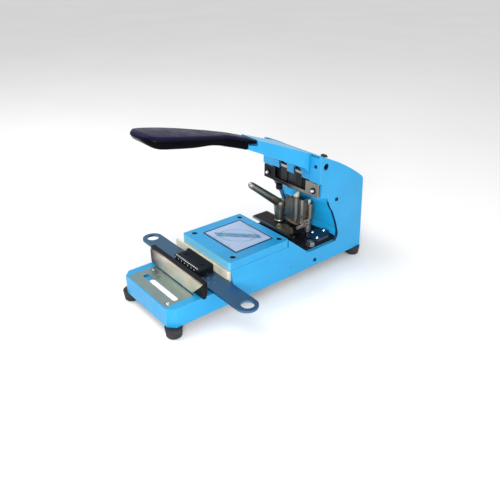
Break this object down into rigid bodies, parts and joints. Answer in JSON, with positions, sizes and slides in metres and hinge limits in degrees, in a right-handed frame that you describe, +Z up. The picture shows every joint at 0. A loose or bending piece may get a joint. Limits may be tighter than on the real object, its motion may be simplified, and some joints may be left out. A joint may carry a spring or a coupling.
{
  "type": "hot foil stamper",
  "caption": "Tabletop hot foil stamping press with a long hand lever, cam-driven sprung press head, sliding paper table, stepped base and cross gauge bar",
  "frame": {"origin": "middle of the machine on the table top, under the feet", "axes": "+X to the machine's right along the gauge bar, +Y from the setting plate back to the press head, +Z up"},
  "size_m": [0.213, 0.3016, 0.2074],
  "materials": {
    "body_paint": "smooth sky-blue enamel over cast and folded metal",
    "bottom_sheet": "dark powder-coated sheet",
    "rubber": "matte moulded rubber",
    "bright_screws": "bright zinc-plated steel",
    "dark_screws": "blackened steel",
    "label": "printed satin panel with a plain border",
    "setting_steel": "ground steel, grey-green",
    "paper_strip": "pale matte strip",
    "gauge_steel": "blued steel with fine graduations",
    "black_metal": "satin black paint",
    "brass_strip": "polished pale brass",
    "bronze_steel": "warm grey machined steel",
    "plain_steel": "machined steel",
    "grip_plastic": "glossy black moulded plastic with a violet sheen",
    "pad_blue": "dark blue moulded plastic",
    "black_plastic": "matte black plastic",
    "brass_part": "machined brass",
    "spring_steel": "drawn spring wire"
  },
  "bodies": {
    "base": {"base_casting": "body_paint", "bottom_plate": "bottom_sheet", "feet": "rubber", "feet_screws": "bright_screws", "deck_cover": "body_paint", "deck_screws": "dark_screws", "label_plate": "label", "setting_plate": "setting_steel", "slot_strip": "paper_strip", "setting_screws": "bright_screws", "gauge_runner": "plain_steel", "guide_strip": "brass_strip", "side_plate_left": "body_paint", "side_plate_right": "body_paint", "rear_cover": "body_paint", "throat_wall": "body_paint", "side_screws": "dark_screws", "pivot_pin": "dark_screws", "pivot_spacers": "plain_steel", "clip_bar": "bronze_steel", "clip_bar_washers": "bronze_steel", "clip_bar_screws": "bright_screws", "bar_block": "black_metal", "clip_brackets": "plain_steel", "clip_pins": "bright_screws", "bed_plate": "black_metal", "table_rails": "plain_steel", "bed_bolts": "plain_steel", "guide_posts": "plain_steel", "clamp_stud": "plain_steel", "cord_gland": "black_plastic", "return_springs": "spring_steel", "bed_pad": "pad_blue", "pad_screws": "bright_screws"},
    "lever": {"lever_arm": "body_paint", "lever_bushes": "brass_part", "press_cam": "plain_steel", "grip": "grip_plastic", "grip_screws": "bright_screws"},
    "ram": {"press_head": "bronze_steel", "plunger_button": "brass_part", "die_holder": "plain_steel", "die_clamp": "brass_part", "die": "brass_part", "heater_cartridge": "bright_screws"},
    "clamp": {"clamp_lever": "bronze_steel", "clamp_screw": "bright_screws"},
    "table": {"work_table": "black_metal", "table_edge": "plain_steel", "work_stop": "bronze_steel"},
    "gauge": {"gauge_bar": "gauge_steel", "gauge_block": "black_metal", "gauge_block_screws": "dark_screws"},
    "fence": {"fence_plate": "black_metal", "fence_channel": "bronze_steel", "fence_screws": "bright_screws"},
    "clip_left": {"spring_clip_left": "black_metal"},
    "clip_right": {"spring_clip_right": "black_metal"},
    "thumb": {"thumb_screw": "black_metal"},
    "stroke_adjuster": {"stroke_knob": "black_plastic"}
  },
  "joints": [
    {"name": "hand_lever", "type": "hinge", "parent": "base", "child": "lever", "pos_m": [0, 0.0715, 0.139], "axis": [1, 0, 0], "range_deg": [0, 14], "stiffness_Nm_per_rad": 2, "springref_deg": -20.05},
    {"name": "head_slide", "type": "slide", "parent": "base", "child": "ram", "axis": [0, 0, -1], "range_m": [0, 0.0045], "deforming": ["return_springs"]},
    {"name": "clamp_turn", "type": "hinge", "parent": "base", "child": "clamp", "pos_m": [-0.025, 0.0695, 0.05], "axis": [0, 0, 1], "range_deg": [-60, 50]},
    {"name": "table_slide", "type": "slide", "parent": "base", "child": "table", "axis": [1, 0, 0], "range_m": [-0.005, 0.005]},
    {"name": "gauge_slide", "type": "slide", "parent": "base", "child": "gauge", "axis": [1, 0, 0], "range_m": [-0.02, 0.02]},
    {"name": "fence_slide", "type": "slide", "parent": "base", "child": "fence", "axis": [0, 1, 0], "range_m": [-0.024, 0.004]},
    {"name": "clip_left_lift", "type": "hinge", "parent": "base", "child": "clip_left", "pos_m": [-0.013, 0.0661, 0.1264], "axis": [-1, 0, 0], "range_deg": [0, 30], "stiffness_Nm_per_rad": 0.05, "springref_deg": -11.46},
    {"name": "clip_right_lift", "type": "hinge", "parent": "base", "child": "clip_right", "pos_m": [0.013, 0.0661, 0.1264], "axis": [-1, 0, 0], "range_deg": [0, 30], "stiffness_Nm_per_rad": 0.05, "springref_deg": -11.46},
    {"name": "thumb_screw_turn", "type": "hinge", "parent": "base", "child": "thumb", "pos_m": [-0.025, 0.068, 0.1], "axis": [0, 0, 1], "continuous": true},
    {"name": "stroke_adjust_turn", "type": "hinge", "parent": "base", "child": "stroke_adjuster", "pos_m": [0.038, 0.0765, 0.14], "axis": [0, 0.3584, 0.9336], "range_deg": [0, 270]}
  ],
  "couplings": [
    {"joint": "head_slide", "follows": "hand_lever", "m_per_rad": 0.01841}
  ]
}
